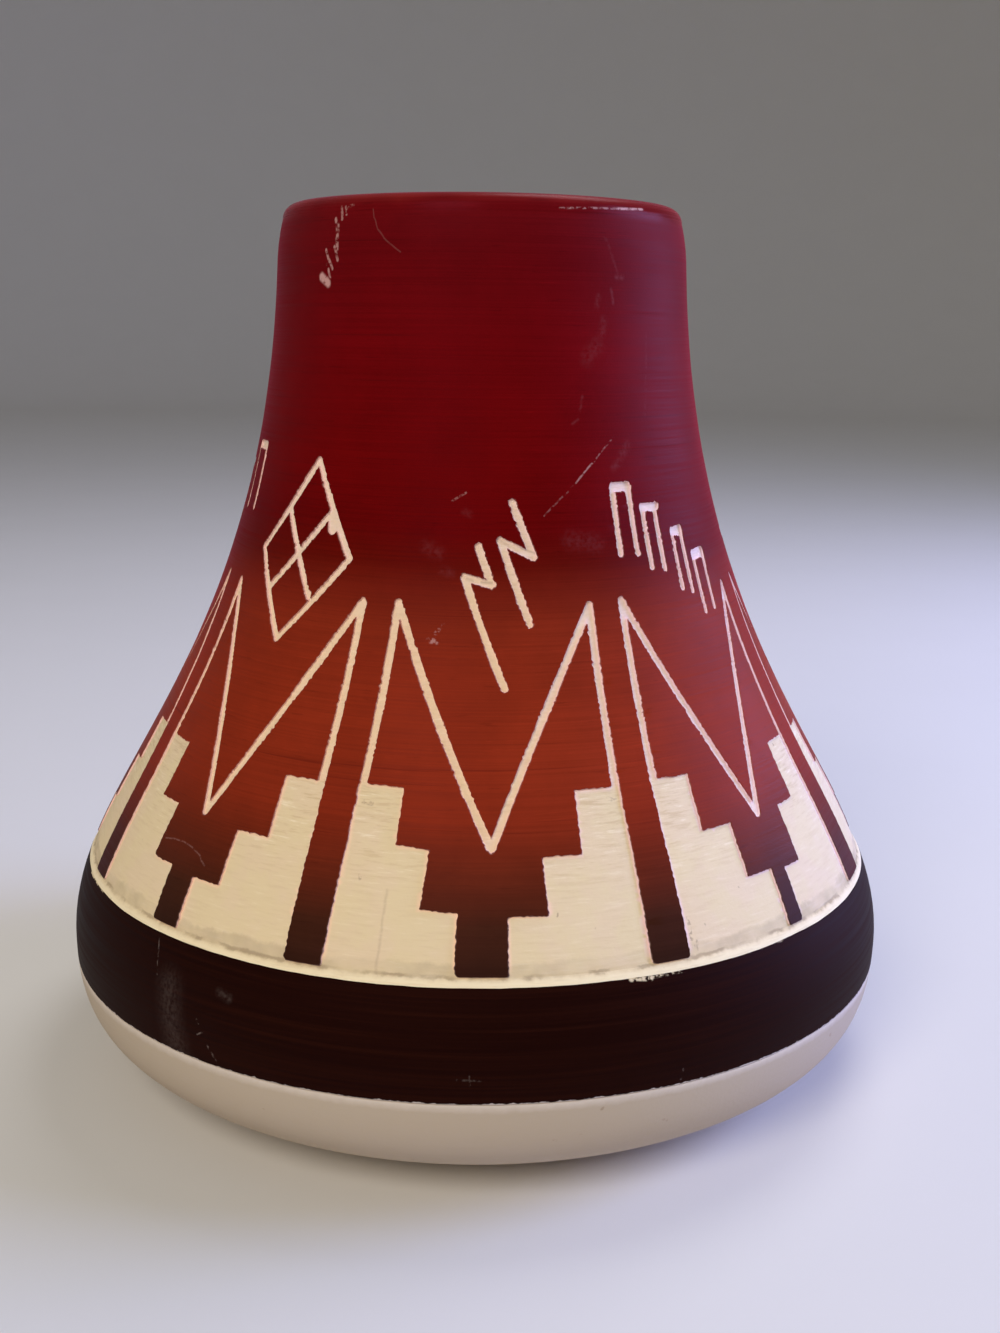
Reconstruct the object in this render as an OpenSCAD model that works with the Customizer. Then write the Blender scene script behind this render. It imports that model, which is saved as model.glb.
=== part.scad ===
// Bell shaped pottery vase with coloured slip coats, carved through to the pale clay.
// Millimetres, +Z up, origin at the centre of the foot, front panel towards -Y.

/* [Pot] */
// Height from the foot to the top of the lip
height = 173; // [160:1:240]
// Outer radius at the widest part of the belly
belly_r = 85; // [76:1:105]
// Height of the widest part above the foot
belly_z = 28; // [24:1:34]
// Outer radius of the foot
foot_r = 59; // [48:1:66]
// Outer radius of the neck at the mouth
mouth_r = 40.5; // [34:0.5:48]
// Height over which the shoulder rounds away above the widest part
shoulder_round = 30; // [20:1:40]
// Height over which the neck runs straight below the lip
neck_run = 88; // [70:1:95]
// Inward tuck of the neck at the lip
lip_tuck = 1.8; // [0:0.1:3]
// Height over which the neck tucks in
tuck_h = 11; // [8:0.5:16]
// Height over which the belly rounds away below the widest part
belly_round = 17; // [12:1:20]
// Outward flare of the heel above the foot
heel_flare = 20; // [14:1:22]
// Rise of the heel over that flare
heel_rise = 8; // [5:0.5:10]
// Thickness of the wall with its coats, which is the thickness of the round lip
wall = 6; // [4:0.5:9]
// Thickness of the floor
floor_t = 8; // [5:0.5:12]
// Radius of the round between the floor and the wall inside
floor_round = 20; // [12:1:26]
// Width of the flat ring that the pot stands on
foot_w = 9; // [5:1:16]
// Depth of the hollow inside that ring
foot_hollow = 1.5; // [0.5:0.1:3]

/* [Coats] */
// Thickness of the coloured slip, which is the depth of the carving
coat_t = 0.5; // [0.4:0.1:1.5]
// Thickness of the clear glaze inside
glaze_t = 0.5; // [0.3:0.1:1]
// Depth to which the coloured slip runs down inside the mouth
coat_in = 12; // [6:1:25]
// Height of the lower edge of the dark band above the foot
band_z = 24; // [16:0.5:28]
// Height of the dark band
band_h = 19.3; // [12:0.1:22]
// Height of the bare bevel above the dark band
bevel_h = 1.4; // [0.8:0.1:2.5]
// Bare gap between the bevel and the coats above it
bevel_gap = 0.4; // [0.2:0.1:1]

/* [Carved panels] */
// Number of panels round the pot
panels = 8; // [6:1:9]
// Turn of the front panel's middle away from the front
pattern_turn = 1.5; // [-20:0.5:20]
// Width of a carved line
line_w = 1.6; // [1:0.1:2.4]
// Width of the coloured posts between the panels at their lower ends
post_w = 7.2; // [4:0.1:10]
// Width of the posts between the peaks of the panels
post_top_w = 5.3; // [3:0.1:8]
// Number of terraces on each side of a panel
steps = 3; // [2:1:4]
// Height of a terrace
step_h = 9.2; // [6:0.1:11]
// Width of a terrace
step_w = 5.5; // [3:0.1:6]
// Width of the trunk between the lowest terraces
trunk_w = 7; // [3:0.1:9]
// Height of the peaks above the top terrace
peak_h = 30; // [22:0.5:36]
// Depth of the notch between the two peaks
notch_h = 38; // [28:0.5:44]

/* [Carved motifs] */
// Height of the middle of the motifs above the peaks
motif_rise = 7.2; // [4:0.1:14]
// Width of the diamond between the middles of its lines
diamond_w = 23; // [14:0.5:26]
// Height of the diamond between the middles of its lines
diamond_h = 32; // [20:0.5:36]
// Number of fingers in a group
fingers = 4; // [2:1:4]
// Width of a finger between the middles of its lines
finger_w = 3.7; // [2.6:0.1:4.2]
// Height of a finger
finger_h = 11.8; // [8:0.1:16]
// Distance from one finger to the next
finger_pitch = 6.3; // [5.9:0.1:7]
// Fall from one finger to the next
finger_fall = 4.4; // [2:0.1:6]
// Drop of the head of a lightning bolt
bolt_head = 8; // [5:0.5:11]
// Drop of the tail of a lightning bolt
bolt_tail = 16.4; // [10:0.1:20]
// Sideways run of a bolt for each unit of its drop
bolt_slant = 0.38; // [0.2:0.01:0.5]
// Sideways kick of a bolt between its head and its tail
bolt_kick = 5.4; // [3:0.1:7]
// Rise of a bolt over that kick
bolt_kick_rise = 2; // [0.5:0.1:3]
// Sideways distance from the first bolt to the second
bolt_pitch = 6; // [5:0.1:8]
// Rise from the first bolt to the second
bolt_rise = 7.6; // [4:0.1:10]

/* [Hidden] */
// Longest stretch of height between two rings of the turned profile
ring_step = 4.4;
// Shortest edge that a profile keeps
least_edge = 0.001;
// Angle between the points of the lip's round and the floor's round
round_step = 15;
// Sides of a full turn and of the round end of a carved line
turn_sides = 120;
end_sides = 24;

lip_r = wall / 2;
lip_z = height - lip_r;
coat_end_z = height - coat_in;
ring_z = band_z + band_h;
bevel_z = ring_z + bevel_h;
coat_z = bevel_z + bevel_gap;
floor_z = floor_t + floor_round;
terrace_z = coat_z + steps * step_h;
peak_z = terrace_z + peak_h;
motif_z = peak_z + motif_rise;
half_pitch = 180 / panels;

// Motifs in their order round the pot, by the remainder of the panel's number
bolt_motif = 0;
finger_motif = 1;
mirror_motif = 2;
diamond_motif = 3;
motifs = 4;

panel_list = [for (k = [1:panels]) k];
diamond_list = [for (k = panel_list) if (motif_of(k) == diamond_motif) k];
cell_names = ["top", "right", "bottom", "left"];
cell_sides = [[0, 1], [1, 0], [0, -1], [-1, 0]];

clay_colour = [0.87, 0.81, 0.70];
glaze_colour = [0.90, 0.88, 0.82];
band_colour = [0.10, 0.02, 0.02];
field_colour = [0.42, 0.02, 0.05];
panel_colour = [0.48, 0.11, 0.08];

function motif_of(k) = (k - 1) % motifs;
function panel_name(k) = str("panel_coat_", k);
function cell_name(k, name) = str("diamond_", k, "_", name);
function panel_angle(k) = pattern_turn + (k - 1) * 360 / panels;

// Turned profile: one curve from the foot to the widest part, one from there to the mouth
heel_curve = [
    [foot_r, 0],
    [foot_r + heel_flare, heel_rise],
    [belly_r, belly_z - belly_round],
    [belly_r, belly_z]
];
neck_curve = [
    [belly_r, belly_z],
    [belly_r, belly_z + shoulder_round],
    [mouth_r, height - neck_run],
    [mouth_r, height]
];

function curve_at(p, t) =
    pow(1 - t, 3) * p[0] + 3 * t * pow(1 - t, 2) * p[1] + 3 * t * t * (1 - t) * p[2] + pow(t, 3) * p[3];

// Place on a rising curve at height z, found by halving
function place_at(p, z, low = 0, high = 1, halvings = 40) =
    let (mid = (low + high) / 2)
    halvings == 0 ? mid :
    curve_at(p, mid).y < z ? place_at(p, z, mid, high, halvings - 1) :
    place_at(p, z, low, mid, halvings - 1);

function curve_r(p, z) = curve_at(p, place_at(p, z)).x;
function tuck(z) = lip_tuck * pow(max(0, z - height + tuck_h) / tuck_h, 2);
function outer_r(z) = z < belly_z ? curve_r(heel_curve, z) : curve_r(neck_curve, z) - tuck(z);
function inner_r(z) = outer_r(z) - wall;

// Heights from a up to, but not including, b, in even stretches
function stretch(a, b, longest = ring_step) =
    let (n = ceil((b - a) / longest))
    [for (i = [0:n - 1]) a + (b - a) * i / n];

outer_levels = concat(
    stretch(0, band_z, ring_step / 2),
    stretch(band_z, ring_z),
    stretch(ring_z, bevel_z),
    stretch(bevel_z, coat_z),
    stretch(coat_z, lip_z),
    [lip_z]
);
inner_levels = concat(stretch(floor_z, coat_end_z), stretch(coat_end_z, lip_z), [lip_z]);

function backwards(path) = [for (i = [len(path) - 1:-1:0]) path[i]];
function without_repeats(path) =
    [for (i = [0:len(path) - 1]) if (norm(path[i] - path[(i + 1) % len(path)]) > least_edge) path[i]];
function between(z, low, high) = z > low - least_edge && z < high + least_edge;

// Paths up the outside, over the lip from outside to inside, and down the inside, set back by depth
function outside(low, high, depth) =
    [for (z = outer_levels) if (between(z, low, high)) [outer_r(z) - depth, z]];
function over_lip(depth) =
    let (middle = [outer_r(lip_z) - lip_r, lip_z], radius = lip_r - depth)
    [for (a = [round_step:round_step:180 - round_step]) middle + radius * [cos(a), sin(a)]];
function inside(high, low, depth) =
    [for (z = backwards(inner_levels)) if (between(z, low, high)) [inner_r(z) + depth, z]];
function floor_path(depth) =
    let (middle = [inner_r(floor_z) - floor_round, floor_z], radius = floor_round + depth)
    concat(
        [for (a = [round_step:round_step:90]) middle + radius * [cos(a), -sin(a)]],
        [[0, floor_t - depth]]
    );

module turned(path) {
    rotate([0, 0, pattern_turn + half_pitch - 90])
        rotate_extrude($fn = turn_sides)
            polygon(without_repeats(path));
}

// A path up the face of a coat, closed along its back
function coat_ring(low, high) = concat(outside(low, high, 0), backwards(outside(low, high, coat_t)));
function lip_coat(depth) =
    concat(outside(coat_z, lip_z, depth), over_lip(depth), inside(lip_z, coat_end_z, depth));

// Half the width of a panel's outer edge, which leaves a post of the given width beside it
function panel_half_w(z, width) = outer_r(z) * sin(half_pitch) - width / 2 * cos(half_pitch);

// Middles of the carved lines that bound a panel, seen square on, right half
foot_point = [panel_half_w(coat_z, post_w) - line_w / 2, coat_z];
peak_point = [panel_half_w(peak_z, post_top_w) - line_w / 2, peak_z];
notch_point = [0, peak_z - notch_h];
// The panel's edges run on past the lower end of the coat
root_point = foot_point + (foot_point - peak_point) * bevel_h / (peak_z - coat_z);

function mirrored(p) = [-p.x, p.y];

// A straight carved line with round ends
module carved_line(a, b) {
    side = [b.y - a.y, a.x - b.x] / norm(b - a) * line_w / 2;
    polygon([a + side, b + side, b - side, a - side]);
    for (p = [a, b])
        translate(p)
            circle(d = line_w, $fn = end_sides);
}

module panel_shape() {
    polygon([root_point, peak_point, notch_point, mirrored(peak_point), mirrored(root_point)]);
}

module panel_lines() {
    carved_line(root_point, peak_point);
    carved_line(peak_point, notch_point);
    carved_line(notch_point, mirrored(peak_point));
    carved_line(mirrored(peak_point), mirrored(root_point));
}

// Bare terraces on both sides of the trunk, lowest nearest to it
module terraces() {
    for (side = [-1, 1])
        for (i = [0:steps - 1]) {
            near = trunk_w / 2 + i * step_w;
            far = root_point.x + line_w;
            translate([side * (near + far) / 2, (root_point.y + coat_z + (i + 1) * step_h) / 2])
                square([far - near, coat_z + (i + 1) * step_h - root_point.y], center = true);
        }
}

module panel_island() {
    difference() {
        panel_shape();
        panel_lines();
        terraces();
    }
}

module panel_window() {
    panel_shape();
    panel_lines();
}

// A rhombus whose sides lie the given distance outside the diamond's line middles
module rhombus(w, h, grow = 0) {
    side = norm([w, h]);
    polygon([
        [w / 2 + grow * side / h, 0],
        [0, h / 2 + grow * side / w],
        [-w / 2 - grow * side / h, 0],
        [0, -h / 2 - grow * side / w]
    ]);
}

// One of the four coloured cells inside the diamond's lines
module diamond_cell_shape(side) {
    translate([side.x * diamond_w / 4, motif_z + side.y * diamond_h / 4])
        rhombus(diamond_w / 2, diamond_h / 2, -line_w / 2);
}

module diamond_window() {
    translate([0, motif_z])
        rhombus(diamond_w, diamond_h, line_w / 2);
}

// An arch of carved line, open below, with its foot at the origin
module finger() {
    difference() {
        translate([-(finger_w + line_w) / 2, 0])
            square([finger_w + line_w, finger_h]);
        translate([-(finger_w - line_w) / 2, -line_w])
            square([finger_w - line_w, finger_h]);
    }
}

module finger_group() {
    group_w = (fingers - 1) * finger_pitch;
    group_h = (fingers - 1) * finger_fall + finger_h;
    for (i = [0:fingers - 1])
        translate([i * finger_pitch - group_w / 2, motif_z + group_h / 2 - finger_h - i * finger_fall])
            finger();
}

// Unit vector to the left of a run from a to b, and the points beside a bent line with pointed corners
function left_of(a, b) = [a.y - b.y, b.x - a.x] / norm(b - a);
function beside(path, offset) =
    [for (i = [0:len(path) - 1])
        let (
            before = left_of(path[max(i - 1, 0)], path[max(i, 1)]),
            after = left_of(path[min(i, len(path) - 2)], path[min(i + 1, len(path) - 1)])
        )
        path[i] + offset * (before + after) / (1 + before * after)];

module bolt() {
    elbow = [bolt_slant * bolt_head, -bolt_head];
    kick = elbow + [-bolt_kick, bolt_kick_rise];
    path = [[0, 0], elbow, kick, kick + [bolt_slant * bolt_tail, -bolt_tail]];
    polygon(concat(beside(path, line_w / 2), backwards(beside(path, -line_w / 2))));
}

module bolt_pair() {
    for (i = [0, 1])
        translate([i * bolt_pitch - bolt_pitch / 4, motif_z + bolt_head / 2 + (i - 0.5) * bolt_rise])
            bolt();
}

module motif(k) {
    kind = motif_of(k);
    if (kind == bolt_motif)
        bolt_pair();
    if (kind == finger_motif)
        finger_group();
    if (kind == mirror_motif)
        mirror([1, 0])
            finger_group();
    if (kind == diamond_motif)
        diamond_window();
}

// Drives a shape drawn square on to panel k straight out from the pot's axis
module driven_out(k) {
    rotate([0, 0, panel_angle(k)])
        rotate([90, 0, 0])
            linear_extrude(height = belly_r + wall)
                children();
}

// The coat's full thickness over one panel
module coat_sector(k, low, high) {
    rotate([0, 0, panel_angle(k)])
        rotate_extrude(angle = 2 * half_pitch, start = -90 - half_pitch, $fn = turn_sides)
            polygon(without_repeats(coat_ring(low, high)));
}

module clay_body() {
    color(clay_colour)
        turned(concat(
            [[0, foot_hollow], [foot_r - foot_w - foot_hollow, foot_hollow], [foot_r - foot_w, 0]],
            outside(0, band_z, 0),
            outside(band_z, ring_z, coat_t),
            [[outer_r(ring_z), ring_z]],
            outside(bevel_z, lip_z, coat_t),
            over_lip(coat_t),
            inside(lip_z, coat_end_z, coat_t),
            inside(coat_end_z, floor_z, glaze_t),
            floor_path(glaze_t)
        ));
}

module glaze_lining() {
    color(glaze_colour)
        turned(concat(
            inside(coat_end_z, floor_z, 0),
            floor_path(0),
            backwards(floor_path(glaze_t)),
            backwards(inside(coat_end_z, floor_z, glaze_t))
        ));
}

module band_coat() {
    color(band_colour)
        turned(coat_ring(band_z, ring_z));
}

module field_coat() {
    color(field_colour)
        difference() {
            turned(concat(lip_coat(0), backwards(lip_coat(coat_t))));
            for (k = panel_list) {
                driven_out(k)
                    panel_window();
                driven_out(k)
                    motif(k);
            }
        }
}

module panel_coat(k) {
    color(panel_colour)
        intersection() {
            coat_sector(k, coat_z, lip_z);
            driven_out(k)
                panel_island();
        }
}

module diamond_cell(k, side) {
    color(field_colour)
        intersection() {
            coat_sector(k, coat_z, lip_z);
            driven_out(k)
                diamond_cell_shape(side);
        }
}

clay_body();
glaze_lining();
band_coat();
field_coat();
for (k = panel_list)
    panel_coat(k);
for (k = diamond_list)
    for (c = [0:len(cell_names) - 1])
        diamond_cell(k, cell_sides[c]);
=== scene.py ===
import math

import bpy
import numpy as np
from mathutils import Euler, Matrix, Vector, noise
from mathutils.geometry import delaunay_2d_cdt


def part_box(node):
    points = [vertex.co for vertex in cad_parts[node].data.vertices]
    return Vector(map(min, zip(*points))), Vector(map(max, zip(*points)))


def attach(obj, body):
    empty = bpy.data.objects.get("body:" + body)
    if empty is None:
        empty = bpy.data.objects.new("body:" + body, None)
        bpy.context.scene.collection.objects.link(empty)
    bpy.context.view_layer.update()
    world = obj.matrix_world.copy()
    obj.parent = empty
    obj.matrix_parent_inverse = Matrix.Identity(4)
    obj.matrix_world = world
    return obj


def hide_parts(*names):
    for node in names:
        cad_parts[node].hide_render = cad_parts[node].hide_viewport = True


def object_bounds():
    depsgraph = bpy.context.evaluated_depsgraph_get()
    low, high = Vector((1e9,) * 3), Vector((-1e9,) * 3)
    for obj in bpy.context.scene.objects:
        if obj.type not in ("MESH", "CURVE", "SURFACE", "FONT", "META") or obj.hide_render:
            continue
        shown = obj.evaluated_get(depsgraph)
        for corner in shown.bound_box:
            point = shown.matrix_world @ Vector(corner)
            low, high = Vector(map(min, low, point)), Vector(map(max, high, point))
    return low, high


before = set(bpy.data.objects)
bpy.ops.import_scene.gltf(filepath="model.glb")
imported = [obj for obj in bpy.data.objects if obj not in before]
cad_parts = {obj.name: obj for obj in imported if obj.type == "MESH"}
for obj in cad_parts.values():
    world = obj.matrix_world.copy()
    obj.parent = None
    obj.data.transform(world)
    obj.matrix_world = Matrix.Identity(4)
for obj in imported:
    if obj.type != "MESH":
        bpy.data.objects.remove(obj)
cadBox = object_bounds()
mm = 0.001  # drawing sizes are millimetres, meshes are metres

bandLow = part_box("band_coat")[0].z / mm
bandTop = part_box("band_coat")[1].z / mm
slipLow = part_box("field_coat")[0].z / mm
potHeight = cadBox[1].z / mm

# turned shape: two curves, foot to belly and belly to mouth
pot = {
    "footR": 59.0, "bellyR": 85.0, "bellyZ": 28.0, "mouthR": 40.5,
    "heelFlare": 20.0, "heelRise": 8.0, "bellyRound": 17.0,
    "shoulderRound": 30.0, "neckRun": 88.0, "lipTuck": 1.8, "tuckH": 11.0,
    "wall": 6.0, "floorT": 8.0, "floorRound": 20.0,
    "footW": 9.0, "footHollow": 1.5, "footEase": 0.7,
    "slipT": 0.5, "slipIn": 12.0, "glazeT": 0.5,
    "bevelH": 1.4, "edgeEase": 0.16, "edgeWaver": 0.14,
    "rowStep": 2.4, "baseStep": 1.2, "hiddenStep": 6.0, "floorRings": (0.66, 0.33, 0.0),
}
lipR = pot["wall"] / 2
lipZ = potHeight - lipR
slipEnd = potHeight - pot["slipIn"]
floorZ = pot["floorT"] + pot["floorRound"]
carveLow = bandTop + pot["bevelH"]
carveTop = 130.0  # the carving ends below this, plain neck above
cutFoot = carveLow - 3.0  # the wide cuts are drawn on past the bevel


def curvePoints(corners, count):
    t = np.linspace(0, 1, count)[:, None]
    a, b, c, d = np.array(corners, float)
    return (1 - t)**3 * a + 3 * t * (1 - t)**2 * b + 3 * t * t * (1 - t) * c + t**3 * d


heelCurve = curvePoints([
    (pot["footR"], 0),
    (pot["footR"] + pot["heelFlare"], pot["heelRise"]),
    (pot["bellyR"], pot["bellyZ"] - pot["bellyRound"]),
    (pot["bellyR"], pot["bellyZ"])], 400)
neckCurve = curvePoints([
    (pot["bellyR"], pot["bellyZ"]),
    (pot["bellyR"], pot["bellyZ"] + pot["shoulderRound"]),
    (pot["mouthR"], potHeight - pot["neckRun"]),
    (pot["mouthR"], potHeight)], 900)
profileR, profileZ = np.vstack([heelCurve, neckCurve[1:]]).T
tuck = np.maximum(0, profileZ - potHeight + pot["tuckH"]) / pot["tuckH"]
profileR = profileR - pot["lipTuck"] * tuck**2
profileS = np.concatenate([[0], np.cumsum(np.hypot(np.diff(profileR), np.diff(profileZ)))])


def outerR(z):
    return np.interp(z, profileZ, profileR)


def slant(z):  # length up the wall
    return np.interp(z, profileZ, profileS)


def levels(low, high, step):
    count = max(1, math.ceil(abs(high - low) / step))
    return np.linspace(low, high, count + 1)


def outside(low, high, depth=0.0, step=pot["rowStep"]):
    return [(outerR(z) - depth, z) for z in levels(low, high, step)]


def inside(high, low, depth=0.0, step=pot["rowStep"]):
    return [(outerR(z) - pot["wall"] + depth, z) for z in levels(high, low, step)]


def overLip(depth, count=14):
    middle = outerR(lipZ) - lipR
    turns = np.linspace(0, math.pi, count + 1)[1:-1]
    return [(middle + (lipR - depth) * math.cos(a), lipZ + (lipR - depth) * math.sin(a)) for a in turns]


def potFloor(depth, count=10):
    middle = outerR(floorZ) - pot["wall"] - pot["floorRound"]
    bendR = pot["floorRound"] + depth
    bend = [(middle + bendR * math.cos(a), floorZ - bendR * math.sin(a))
            for a in np.linspace(0, math.pi / 2, count + 1)[1:]]
    return bend + [(middle * k, pot["floorT"] - depth) for k in pot["floorRings"]]


# the eight panels: posts stand at these turns, 0 faces the camera, degrees
postTurns = [-65.9, -21.4, 24.4, 67.1, 112.5, 157.9, 203.3, 248.7, 294.1]
columnsPerPanel = 32
columnTurns = np.concatenate([
    np.linspace(a, b, columnsPerPanel, endpoint=False)
    for a, b in zip(postTurns[:-1], postTurns[1:])] + [[postTurns[-1]]])

# hand cut panels: turn in degrees from the panel's middle, height in mm above the foot
# a step is (edge at its top, edge at its foot, height of its top), outermost first, and tops may fall inward
panelCuts = {
    "left": {
        "peaks": [(-17.95, 102.0), (20.25, 102.0)],
        "sags": [(-8.15, 83.9), (9.1, 83.9)],
        "notch": (-0.45, 63.6),
        "legs": [(-19.25, 72.6), (19.3, 72.3)],
        "feet": [-19.55, 19.65],
        "steps": [[(-12.35, -12.85, 72.6), (-7.45, -7.8, 63.1), (-2.85, -2.85, 54.0)],
                  [(12.85, 12.85, 72.3), (7.2, 7.2, 62.4), (2.15, 2.15, 53.4)]],
    },
    "front": {
        "peaks": [(-17.4, 102.2), (20.5, 101.8)],
        "sags": [(-8.5, 83.9), (9.4, 83.9)],
        "notch": (0.45, 63.7),
        "legs": [(-19.0, 72.6), (19.8, 72.1)],
        "feet": [-20.5, 20.2],
        "steps": [[(-12.6, -12.8, 72.7), (-8.05, -8.77, 63.7), (-3.95, -4.2, 54.4)],
                  [(13.1, 12.95, 72.1), (7.3, 7.7, 62.4), (2.4, 2.4, 53.7)]],
        "falls": [0.45, 0.0],
    },
    "right": {
        "peaks": [(-16.45, 102.2), (18.65, 101.8)],
        "sags": [(-7.5, 83.9), (9.05, 83.9)],
        "notch": (0.6, 63.4),
        "legs": [(-17.75, 72.4), (18.15, 73.0)],
        "feet": [-18.65, 18.8],
        "steps": [[(-11.15, -11.65, 72.4), (-5.95, -6.1, 63.3), (-1.1, -1.1, 54.6)],
                  [(11.45, 11.45, 73.1), (6.35, 5.9, 63.3), (1.9, 1.9, 53.9)]],
    },
}
panelCutWidth, slippedWidth = 1.4, 1.9
measuredAt = {"left": 0, "front": 1, "right": 2}  # the sector that each panel was measured in

# carved signs above the panels, in the same measures
boltCuts = {
    "width": 1.34,
    "lines": [[(-1.8, 112.1), (0.9, 105.6), (-4.5, 106.9), (3.0, 88.4)],
              [(5.4, 119.7), (9.6, 110.3), (2.8, 113.1), (8.2, 98.9)]],
}
fingerCuts = {
    "width": 1.16,
    "lines": [[(-14.65, 110.1), (-14.65, 122.1), (-10.15, 122.1), (-10.15, 110.0)],
              [(-6.75, 107.2), (-6.75, 118.1), (-1.75, 118.1)], [(-2.85, 118.1), (-3.05, 106.7)],
              [(1.25, 103.0), (1.85, 113.3), (5.15, 113.6), (4.45, 102.1)],
              [(7.25, 98.1), (8.05, 108.6), (12.65, 108.9), (11.25, 98.4)]],
    "barWidth": 1.7,
    "bars": [[(-14.4, 121.9), (-10.4, 121.9)], [(-6.5, 117.9), (-2.4, 117.9)],
             [(2.1, 112.9), (4.9, 113.1)], [(8.3, 108.1), (12.3, 108.4)]],
}
diamondCuts = {
    "width": 1.24,
    "middle": (2.0, 109.3), "low": 92.0,
    "lines": [[(2.95, 125.8), (-11.05, 109.0), (1.55, 93.8), (15.65, 109.0), (2.95, 125.8)],
              [(-4.25, 116.7), (7.15, 101.7)],
              [(-4.85, 102.4), (8.65, 116.3)]],
}

# what stands in each sector, from the left of the photo round to the right and behind
sectors = [
    {"panel": 8, "cut": "left", "sign": "diamond", "slipped": [(9.5, 116.0), (10.0, 113.8)]},
    {"panel": 1, "cut": "front", "sign": "bolts"},
    {"panel": 2, "cut": "right", "sign": "fingers"},
    {"panel": 3, "cut": "right", "sign": "fingers", "signTurned": True, "shift": (4.0, 1.5)},
    {"panel": 4, "cut": "front", "turned": True, "sign": "diamond", "signTurned": True},
    {"panel": 5, "cut": "right", "sign": "bolts"},
    {"panel": 6, "cut": "left", "sign": "fingers"},
    {"panel": 7, "cut": "front", "turned": True, "sign": "fingers", "signTurned": True,
     "shift": (-0.4, 5.2), "broad": 1.5},
]
signCuts = {"bolts": boltCuts, "fingers": fingerCuts, "diamond": diamondCuts}
evenTurn = 360 / len(sectors)


def bowed(start, through, end, count=6):  # a line that sags through a middle point
    t = np.linspace(0, 1, count + 1)[:, None]
    a, m, b = (np.array(p, float) for p in (start, through, end))
    share = (m[1] - a[1]) / (b[1] - a[1])
    pull = (m - (1 - share)**2 * a - share**2 * b) / (2 * share * (1 - share))
    return [tuple(p) for p in (1 - t)**2 * a + 2 * t * (1 - t) * pull + t * t * b]


def panelLines(cut):
    lines, areas = [], []
    for side, way in enumerate((-1, 1)):
        peak, leg, steps = (cut[key][side] for key in ("peaks", "legs", "steps"))
        lines += [[leg, peak], bowed(peak, cut["sags"][side], cut["notch"])]
        outerEdge = leg[0] + way * math.degrees(panelCutWidth / 2 / outerR(leg[1]))
        fall = cut.get("falls", (0.0, 0.0))[side] / 2
        area = [(cut["feet"][side], cutFoot), (outerEdge, leg[1] + fall)]
        nextTops = [height + fall for top, low, height in steps[1:]] + [cutFoot]
        for (top, low, height), nextTop in zip(steps, nextTops):
            area += [(top, height - fall), (low, nextTop)]
        areas.append(area)
    return lines, areas


def flip(points):
    return [(-a, z) for a, z in points]


def drawSector(index):
    sector = sectors[index]
    middle = (postTurns[index] + postTurns[index + 1]) / 2
    stretch = (postTurns[index + 1] - postTurns[index]) / evenTurn
    lines, areas = panelLines(panelCuts[sector["cut"]])
    sign = signCuts[sector["sign"]]
    signs, bars = sign["lines"], sign.get("bars", [])
    if sector.get("turned"):
        lines, areas = ([flip(p) for p in group] for group in (lines, areas))
    if sector.get("signTurned"):
        signs, bars = ([flip(p) for p in group] for group in (signs, bars))
    if measuredAt[sector["cut"]] == index:
        stretch = 1.0  # measured here, so nothing to fit
    shift = sector.get("shift", (0.0, 0.0))

    def placed(points, dx=0.0, dz=0.0):
        return [(middle + dx + a * stretch, z + dz) for a, z in points]

    strokes, areas = [(placed(p), panelCutWidth) for p in lines], [placed(p) for p in areas]
    if "slipped" in sector:  # where the tool slipped
        strokes.append((placed(sector["slipped"]), slippedWidth))
    stretch *= sector.get("broad", 1.0)
    strokes += [(placed(p, *shift), sign["width"]) for p in signs]
    strokes += [(placed(p, *shift), sign["barWidth"]) for p in bars]
    return strokes, areas


carving = [drawSector(i) for i in range(len(sectors))]
print("pattern laid out:", sum(len(s) for s, a in carving), "cut lines")


# distance to the carving: below zero is cut away, above zero the slip stands
grain = {
    "cell": 0.27, "midZ": 75.0, "reach": 5.0, "cornerEase": 0.9,
    "perColumn": 7, "plainStep": 8, "cutStep": 3,  # cells to a mesh column, and between points
    "borderClear": 0.6, "plainClear": 1.2, "lineClear": 0.5, "stepClear": 0.3,  # points keep off the edges
    "thin": 0.1, "thinBlend": 0.4,  # where a cut counts as a thin line
    "lineChatter": 0.42, "lineChatterSize": 0.5, "chatterRun": 2.6, "clean": 0.15,
    "stepChatter": 0.23, "stepChatterSize": 0.7,
    "wander": 0.1, "wanderSize": 5.0, "footDrop": 0.35, "footGap": 0.2,
    "tool": 0.07, "toolLength": 4.0, "toolStep": 1.1,  # scraping marks on the ground
    "smear": 0.24, "smearSize": 1.3, "smearTop": 2.4,  # clay pushed up above the bevel
    "lineDeep": 0.18, "lineSlope": 0.34,  # thin lines have a round floor
    "flake": 0.3,  # islands of slip below this, in square mm, don't hold
    "groove": 0.10, "grooveWidth": 1.5,  # first cut beside each post
}
seeds = {"step": 3.1, "smear": 5.5, "tool": 8.2, "line": 9.6, "nick": 12.3, "wander": 17.4}
far = 1e3


def segmentDistance(turn, radius, length, a, b):
    sa, sb = slant(a[1]), slant(b[1])
    px, py = radius * np.radians(turn - a[0]), length - sa
    bx, by = radius * math.radians(b[0] - a[0]), sb - sa
    share = np.clip((px * bx + py * by) / (bx * bx + by * by + 1e-12), 0, 1)
    return np.hypot(px - share * bx, py - share * by)


def insideArea(turn, z, area):
    hit = np.zeros(turn.shape, bool)
    for (ax, az), (bx, bz) in zip(area, area[1:] + area[:1]):
        if az != bz:
            crosses = (az > z) != (bz > z)
            hit ^= crosses & (turn < ax + (z - az) * (bx - ax) / (bz - az))
    return hit


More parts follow.
